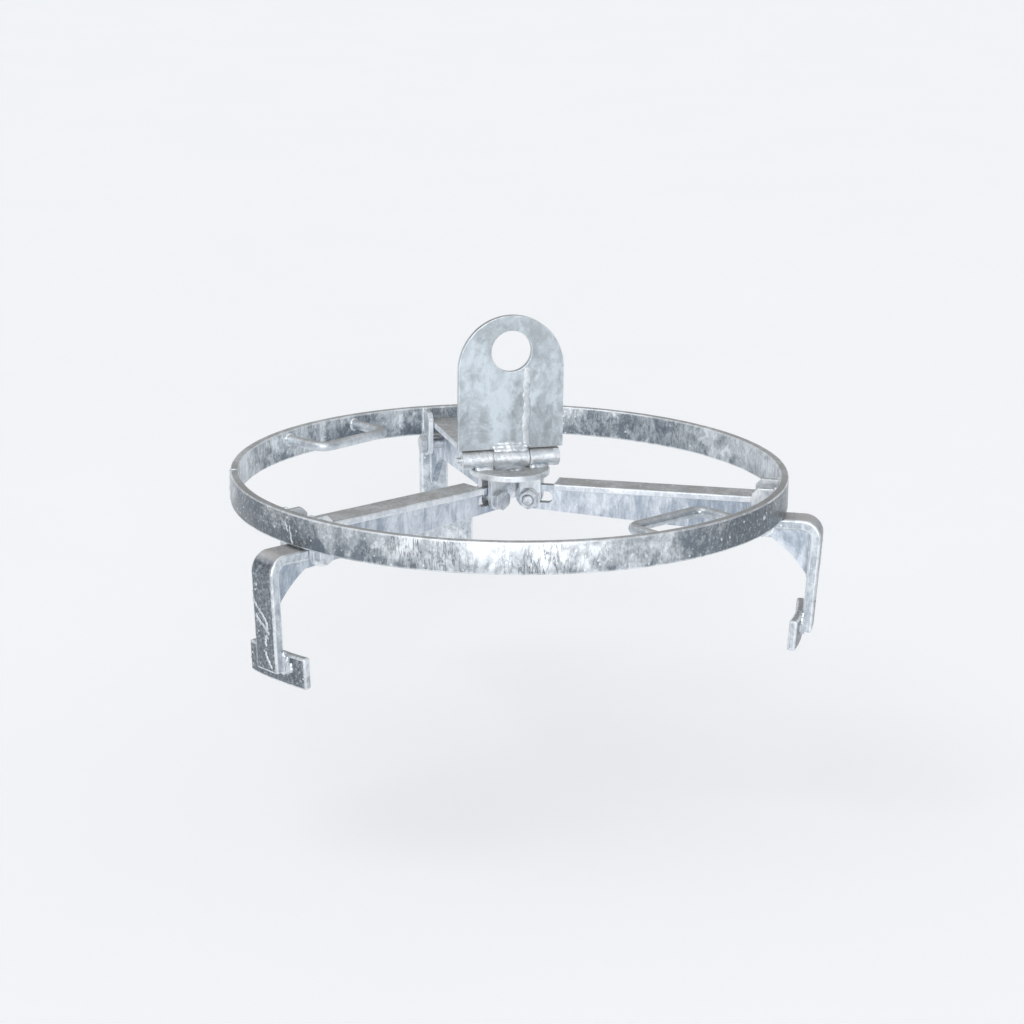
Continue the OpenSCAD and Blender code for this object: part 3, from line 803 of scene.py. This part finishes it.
def lines_mesh(name, lines):
    """A mesh of open lines. Each line is its points and its bead's radius, which tapers at both ends."""
    points, edges, sizes = [], [], []
    for line, radius in lines:
        first = len(points)
        points += [Vector(p) for p in line]
        last = len(points) - 1
        edges += [(i, i + 1) for i in range(first, last)]
        sizes += [radius * (END_TAPER if i in (first, last) else 1.0) for i in range(first, last + 1)]
    mesh = bpy.data.meshes.new(name)
    mesh.from_pydata(points, edges, [])
    mesh.attributes.new("bead", "FLOAT", "POINT").data.foreach_set("value", sizes)
    return mesh


def beads(name, body, lines, seed, pitch=2.6 * MM, ripple=0.05, lumps=1.4 * MM, finish=WELD):
    """Weld beads or zinc runs on one body."""
    mesh = grown(name, lines_mesh(name, lines), BEAD, Pitch=pitch, Ripple=ripple, Lumps=lumps, Seed=seed,
                 Finish=finish)
    turn_outwards(mesh)
    mark_none(mesh, "upward", "edge")
    return shown(name, mesh, body, "galvanised_bright", finish=finish)


def straight(a, b, steps=8):
    """Points from a to b."""
    a, b = Vector(a), Vector(b)
    return [a.lerp(b, i / steps) for i in range(steps + 1)]


def placed(matrix, line):
    """A line's points, moved by a matrix."""
    return [matrix @ Vector(p) for p in line]


def ring_joint():
    """The seam round the section of the ring's bar, where its two ends meet."""
    radii = (RING_IN + JOINT_SINK, RING_OUT - JOINT_SINK)
    heights = (RING_LOW + JOINT_SINK, RING_TOP - JOINT_SINK)
    corners = [(radii[0], heights[0]), (radii[0], heights[1]), (radii[1], heights[1]), (radii[1], heights[0])]
    loop = []
    for (r, z), (next_r, next_z) in zip(corners, corners[1:] + corners[:1]):
        loop += straight((r, 0, z), (next_r, 0, next_z), 6)[:-1]
    return placed(turned(JOINT_AZ), loop + loop[:1])


def ring_seams():
    """Lugs and handles on the ring's inner face, and the joint of the ring's bar."""
    lines = []
    for k in ARMS:
        for side in SIDES:
            y = -lug_lo.x
            foot = Vector((math.sqrt(RING_IN ** 2 - y ** 2), side * y, RING_LOW + LUG_WELD_LOW))
            head = Vector((foot.x, foot.y, lug_hi.z))
            inner = Vector((foot.x, side * -lug_hi.x, lug_hi.z))
            line = straight(foot, head) + straight(head, inner, 3)[1:]
            lines.append((placed(turned(arm_azimuth(k)), line), LUG_BEAD))
    for azimuth in HANDLE_AZ:
        for side in SIDES:
            y = side * HANDLE_W / 2
            centre = Vector((math.sqrt(RING_IN ** 2 - y ** 2) - HANDLE_WELD_SINK, y, HANDLE_Z))
            angles = [2 * math.pi * i / HANDLE_WELD_STEPS for i in range(HANDLE_WELD_STEPS + 1)]
            loop = [centre + HANDLE_R * Vector((0, math.cos(a), math.sin(a))) for a in angles]
            lines.append((placed(turned(azimuth), loop), HANDLE_BEAD))
    lines.append((ring_joint(), JOINT_BEAD))
    return lines


def bend_centre(across):
    """Centre of the claw bar's bend, at a distance across the arm."""
    return Vector((claw_hi.y - BEND_OUT, across, claw_hi.z - BEND_OUT))


def claw_corner(side):
    """The corner of the claw bar that the web fills: under the flat, round the bend and down the leg."""
    centre = bend_centre(side * web_hi.x)
    start = Vector((claw_lo.y + CLAW_WELD_IN, centre.y, centre.z + CLAW_BEND))
    angles = [math.pi / 2 - (math.pi / 2 + CLAW_LEAN) * i / 10 for i in range(11)]
    arc = [centre + CLAW_BEND * Vector((math.cos(a), 0, math.sin(a))) for a in angles]
    foot = arc[-1] + (arc[-1].z - GUSSET_LOW) * Vector((-math.tan(CLAW_LEAN), 0, -1))
    return straight(start, arc[0], 5) + arc[1:] + straight(arc[-1], foot, 6)[1:]


def arm_seams(k):
    """Top bar on web, and web in claw."""
    lines = []
    run = flange_hi.y - flange_lo.y
    for side in SIDES:
        for start in BAR_WELD_STARTS:
            x = flange_lo.y + start * run
            y = side * web_hi.x
            line = straight((x, y, flange_lo.z), (x + BAR_WELD_SHARE * run, y, flange_lo.z))
            lines.append((line, BAR_BEAD))
        lines.append((claw_corner(side), CLAW_BEAD))
    ends = [Vector((flange_lo.y, side * BAR_END_HALF, web_hi.z)) for side in SIDES]
    lines.append((straight(ends[0], ends[1], 4), BAR_END_BEAD))
    return [(placed(turned(arm_azimuth(k)), line), radius) for line, radius in lines]


def shoe_seams(k):
    """The shoe on the leg: a heaped weld down both sides."""
    lines = []
    for side in SIDES:
        end = Vector((shoe_hi.y - SHOE_WELD_SINK, side * claw_hi.x, claw_lo.z))
        for out, back, start, stop, radius in SHOE_ROWS:
            beside = end + Vector((-back * MM, side * out * MM, 0))
            line = straight(beside - start * MM * LEG_DOWN, beside - stop * MM * LEG_DOWN, 6)
            lines.append((line, radius * MM))
    return [(placed(turned(arm_azimuth(k)), line), radius) for line, radius in lines]


def hub_seams():
    """Hinge tubes on the disc, and ears under it."""
    lines = []
    for side in SIDES:
        for front in SIDES:
            near, far = [Vector((side * x, front * TUBE_WELD_Y, disc_hi.z + TUBE_WELD_RISE))
                         for x in TUBE_WELD_X]
            lines.append((straight(near, far), TUBE_BEAD))
    for k in ARMS:
        for side in SIDES:
            near = Vector((ear_lo.y + EAR_WELD_IN, side * -ear_lo.x, disc_lo.z))
            far = Vector((ear_hi.y - EAR_WELD_IN, side * -ear_lo.x, disc_lo.z))
            lines.append((placed(turned(arm_azimuth(k)), straight(near, far)), EAR_BEAD))
    return lines


def plate_seams():
    """The plate on the middle tube, on both faces."""
    rise = math.sqrt(TUBE_R ** 2 - plate_hi.y ** 2)
    lines = []
    for front in SIDES:
        for row, left, right, out, radius in PLATE_ROWS:
            y = front * (plate_hi.y + out * MM)
            z = HINGE_Z + rise + row * MM
            lines.append((straight((left * MM, y, z), (right * MM, y, z), 12), radius * MM))
    return lines


# Zinc that ran off, dripped and spattered before it set

# Runs on the plate's two faces: face, place across and top in millimetres, number of steps.
# The length of a step and the size of each wave of their sway are in millimetres too.
PLATE_RUNS = ((plate_lo.y, 15.0, -16.0, 40), (plate_hi.y, -22.0, -42.0, 24))
PLATE_RUN_STEP = 1.95
PLATE_RUN_SWAY = ((0.5, 1.15), (0.6, 0.37))
PLATE_RUN_R = 3.6 * MM
PLATE_RUN_FLATNESS = 0.2

# Runs on the ring's outer face: azimuth in degrees, low and high end and radius in millimetres
RING_RUNS = ((207.3, 1.0, 19.0, 1.7), (206.0, 12.0, 21.0, 1.4), (28.0, 4.0, 21.0, 1.5),
             (66.0, 2.0, 15.0, 1.3), (131.0, 6.0, 24.0, 1.6), (160.0, 2.0, 13.0, 1.3))
RING_RUN_STEPS = 9
RING_RUN_SUNK = 0.72

# How far a run on the ring sways, and how far it slants at each step, in degrees
RING_RUN_SWAY = 0.12
RING_RUN_SLANT = 0.1

# The drop on the ring's outer face: azimuth in degrees, heights in millimetres
RING_DROP_AZ = -45.0
RING_DROP_HEIGHTS = (15.0, 16.5, 18.0, 19.5)
RING_DROP_SINK = 2.4 * MM
RING_DROP_R = 3.6 * MM


def plate_runs():
    """The long run below the eye on the front, and a short one on the back."""
    lines = []
    for face, x, top, steps in PLATE_RUNS:
        line = []
        for i in range(steps + 1):
            sway = sum(size * math.sin(rate * i) for size, rate in PLATE_RUN_SWAY)
            line.append(Vector(((x + sway) * MM, face, (top - PLATE_RUN_STEP * i) * MM)))
        lines.append((line, PLATE_RUN_R))
    return lines


def pressed(piece, share):
    """Lays the runs of the plate flat on its faces."""
    for vertex in piece.data.vertices:
        face = plate_lo.y if vertex.co.y < 0 else plate_hi.y
        vertex.co.y = face + share * (vertex.co.y - face)
    piece.data.update()


def on_ring(azimuth, height, sink):
    """A point sunk below the ring's outer face."""
    return turned(math.radians(azimuth)) @ Vector((RING_OUT - sink, 0, RING_LOW + height))


def ring_drips():
    """Runs down the ring's outer face and a drop near its right end."""
    drop = [on_ring(RING_DROP_AZ, height * MM, RING_DROP_SINK) for height in RING_DROP_HEIGHTS]
    lines = [(drop, RING_DROP_R)]
    for azimuth, low, high, radius in RING_RUNS:
        line = []
        for i in range(RING_RUN_STEPS + 1):
            height = low + (high - low) * i / RING_RUN_STEPS
            sway = RING_RUN_SWAY * math.sin(1.7 * i) - RING_RUN_SLANT * i
            line.append(on_ring(azimuth + sway, height * MM, RING_RUN_SUNK * radius * MM))
        lines.append((line, radius * MM))
    return lines


def on_leg(k, across, down, sink):
    """A point sunk below the outer face of a claw's leg, down from the end of its bend."""
    outward = Vector((math.cos(CLAW_LEAN), 0, -math.sin(CLAW_LEAN)))
    place = bend_centre(across) + (BEND_OUT - sink) * outward + down * LEG_DOWN
    return turned(arm_azimuth(k)) @ place


# Runs on a leg's outer face, as (across, down) in millimetres
LEG_RUNS = {1: [((-11, 30), (-7, 38), (-8, 47), (-4, 55), (-3, 63)), ((6, 14), (8, 24), (6, 31))],
            2: [((10, 22), (6, 30), (7, 41), (2, 50)), ((-9, 40), (-5, 50), (-6, 62), (-3, 70))],
            3: [((-14, 24), (-11, 29), (-6, 34), (0, 39), (4, 44), (5, 50), (3, 54)),
                ((-11, 39), (-7, 44), (-1, 48), (4, 52), (7, 56)),
                ((0, 73), (2, 79), (5, 83), (8, 88)), ((3, 56), (1, 62), (2, 68))]}
LEG_DROPS = {1: (5, 8), 2: (-4, 12), 3: (-8, 9)}
LEG_RUN_R = 1.6 * MM
LEG_RUN_SINK = 0.9 * MM
LEG_DROP_R = 2.6 * MM
LEG_DROP_SINK = 2.0 * MM


def wandering(line, steps=4, sway=0.7):
    """A run's points with more between them, swaying from side to side."""
    fine = []
    for (across, down), (next_across, next_down) in zip(line, line[1:]):
        for i in range(steps):
            share = i / steps
            place = across + (next_across - across) * share
            fine.append((place + sway * math.sin(1.9 * len(fine)), down + (next_down - down) * share))
    return fine + [line[-1]]


def leg_runs(k):
    """Thin runs and a round drop on a leg's outer face."""
    lines = []
    for line in LEG_RUNS[k]:
        lines.append(([on_leg(k, a * MM, d * MM, LEG_RUN_SINK) for a, d in wandering(line)], LEG_RUN_R))
    across, down = LEG_DROPS[k]
    drop = [on_leg(k, across * MM, (down + i) * MM, LEG_DROP_SINK) for i in range(4)]
    lines.append((drop, LEG_DROP_R))
    return lines


def scatter_tree():
    """Small drops strewn over the faces of a mesh."""
    tree, given, made = growing_tree("zinc_spatter", [("Density", FLOAT, 3000.0), ("Size", FLOAT, 0.0009),
                                                      ("Seed", "NodeSocketInt", 0)])
    points = add(tree, "GeometryNodeDistributePointsOnFaces", {"Mesh": given["Geometry"],
                 "Density": given["Density"], "Seed": given["Seed"]})
    ball = add(tree, "GeometryNodeMeshIcoSphere", {"Radius": given["Size"], "Subdivisions": 2})
    drop = add(tree, "GeometryNodeSetShadeSmooth", {"Geometry": ball.outputs[0]})
    chance = add(tree, "FunctionNodeRandomValue", {2: 0.25, 3: 1.0, "Seed": given["Seed"]}, data_type="FLOAT")
    size = maths(tree, "POWER", chance.outputs[1], 2.0)
    flat = add(tree, "ShaderNodeCombineXYZ", {0: size, 1: size, 2: maths(tree, "MULTIPLY", size, 0.55)})
    copies = add(tree, "GeometryNodeInstanceOnPoints", {"Points": points.outputs[0],
                 "Instance": drop.outputs[0], "Rotation": points.outputs["Rotation"],
                 "Scale": flat.outputs[0]})
    return end_tree(tree, copies.outputs[0], given, made)


SPATTER = scatter_tree()


def spatter(name, node, seed, density, size):
    """Drops of zinc on one piece."""
    source = bpy.data.objects[node + "_zinc"].data.copy()
    mesh = grown(name, source, SPATTER, Density=density, Size=size, Seed=seed, Finish=WELD)
    mark_none(mesh, "upward", "edge")
    shown(name, mesh, body_of[node], "galvanised_bright", finish=WELD)


for k in ARMS:
    spatter(f"claw_bar_{k}_spatter", f"claw_bar_{k}", k, 3200.0, 1.5 * MM)
    spatter(f"claw_shoe_{k}_spatter", f"claw_shoe_{k}", k + 3, 5200.0, 1.4 * MM)
    spatter(f"arm_web_{k}_spatter", f"arm_web_{k}", k + 6, 1600.0, 1.3 * MM)
    beads(f"arm_{k}_runs", f"arm_{k}", leg_runs(k), 11.0 + k, ripple=0.12, lumps=0.9 * MM, finish=RUN)
pressed(beads("plate_runs", "plate", plate_runs(), 8.0, pitch=4.6 * MM, ripple=0.035, lumps=2.4 * MM,
              finish=RUN), PLATE_RUN_FLATNESS)
beads("ring_drips", "ring", ring_drips(), 9.0, lumps=0.8 * MM, finish=RUN)

beads("ring_welds", "ring", ring_seams(), 1.0)
for k in ARMS:
    beads(f"arm_{k}_welds", f"arm_{k}", arm_seams(k), 2.0 + k)
    beads(f"shoe_{k}_welds", f"arm_{k}", shoe_seams(k), 15.0 + k, ripple=0.015, lumps=4.0 * MM)
beads("hub_welds", "hub", hub_seams(), 6.0, ripple=0.008, lumps=2.2 * MM)
beads("plate_welds", "plate", plate_seams(), 7.0, ripple=0.006, lumps=3.0 * MM)


# Camera, floor and light, in metres

FLOOR_HALF = 30.0
FLOOR_BELOW = 30 * MM


def photo_camera():
    """The photograph's viewpoint."""
    ahead = Vector((math.sin(VIEW_AZ) * math.cos(VIEW_EL), math.cos(VIEW_AZ) * math.cos(VIEW_EL),
                    -math.sin(VIEW_EL)))
    right = Vector((math.cos(VIEW_AZ), -math.sin(VIEW_AZ), 0))
    up = right.cross(ahead)
    tilted = right * math.cos(VIEW_ROLL) + up * math.sin(VIEW_ROLL)
    upright = up * math.cos(VIEW_ROLL) - right * math.sin(VIEW_ROLL)
    data = bpy.data.cameras.new("photo_view")
    data.sensor_width = SENSOR_MM
    data.lens = VIEW_FOCAL_PX / IMAGE_PX * SENSOR_MM
    data.shift_x = 0.5 - VIEW_CENTRE_PX[0] / IMAGE_PX
    data.shift_y = VIEW_CENTRE_PX[1] / IMAGE_PX - 0.5
    data.clip_end = 100
    camera = bpy.data.objects.new("photo_view", data)
    bpy.context.scene.collection.objects.link(camera)
    place = Vector((0, 0, RING_LOW)) - VIEW_DISTANCE * ahead
    camera.matrix_world = Matrix.Translation(place) @ Matrix((tilted, upright, -ahead)).transposed().to_4x4()
    bpy.context.scene.camera = camera


def sun(name, towards, power, spread):
    """A soft light that falls evenly from one direction, given as seen from the camera's side."""
    data = bpy.data.lights.new(name, "SUN")
    data.energy = power
    data.angle = math.radians(spread)
    light = bpy.data.objects.new(name, data)
    bpy.context.scene.collection.objects.link(light)
    light.rotation_euler = (turned(-VIEW_AZ) @ Vector(towards)).to_track_quat("Z", "Y").to_euler()


def pale_floor():
    """A wide floor, low enough to clear the ring when it is folded down."""
    floor_mesh = bpy.data.meshes.new("floor")
    level = HINGE_Z - cad_box[1].y - FLOOR_BELOW
    corners = [(FLOOR_HALF * x, FLOOR_HALF * y, level) for x, y in ((-1, -1), (1, -1), (1, 1), (-1, 1))]
    floor_mesh.from_pydata(corners, [], [(0, 1, 2, 3)])
    floor = bpy.data.objects.new("floor", floor_mesh)
    bpy.context.scene.collection.objects.link(floor)
    material = bpy.data.materials.new("pale_floor")
    material.use_nodes = True
    tree = material.node_tree
    place = add(tree, "ShaderNodeTexCoord").outputs["Object"]
    mottle = add(tree, "ShaderNodeTexNoise", {"Vector": place, "Scale": 3.0, "Detail": 3.0}).outputs[0]
    colour = mixed(tree, mottle, (0.96, 0.96, 0.96), (0.98, 0.98, 0.98))
    tree.links.new(colour, tree.nodes["Principled BSDF"].inputs["Base Color"])
    tree.nodes["Principled BSDF"].inputs["Roughness"].default_value = 0.8
    floor_mesh.materials.append(material)


def studio_light():
    """A pale world, darker between its horizon and its top, and two soft lamps."""
    world = bpy.data.worlds.new("studio")
    bpy.context.scene.world = world
    world.use_nodes = True
    tree = world.node_tree
    direction = add(tree, "ShaderNodeTexCoord").outputs["Generated"]
    height = add(tree, "ShaderNodeSeparateXYZ", {0: direction}).outputs[2]
    wall = mixed(tree, ramp(tree, height, 0.12, 0.28), (0.93, 0.94, 0.95), (0.29, 0.29, 0.30))
    glow = mixed(tree, ramp(tree, height, 0.26, 0.80), wall, (0.79, 0.815, 0.85))
    tree.links.new(glow, tree.nodes["Background"].inputs["Color"])
    tree.nodes["Background"].inputs["Strength"].default_value = 1.0
    sun("front_light", (0.05, -1.0, 0.27), 1.2, 24)
    sun("top_light", (-0.5, -0.35, 1.0), 0.6, 40)


photo_camera()
pale_floor()
studio_light()
bpy.context.scene.view_settings.view_transform = "Standard"
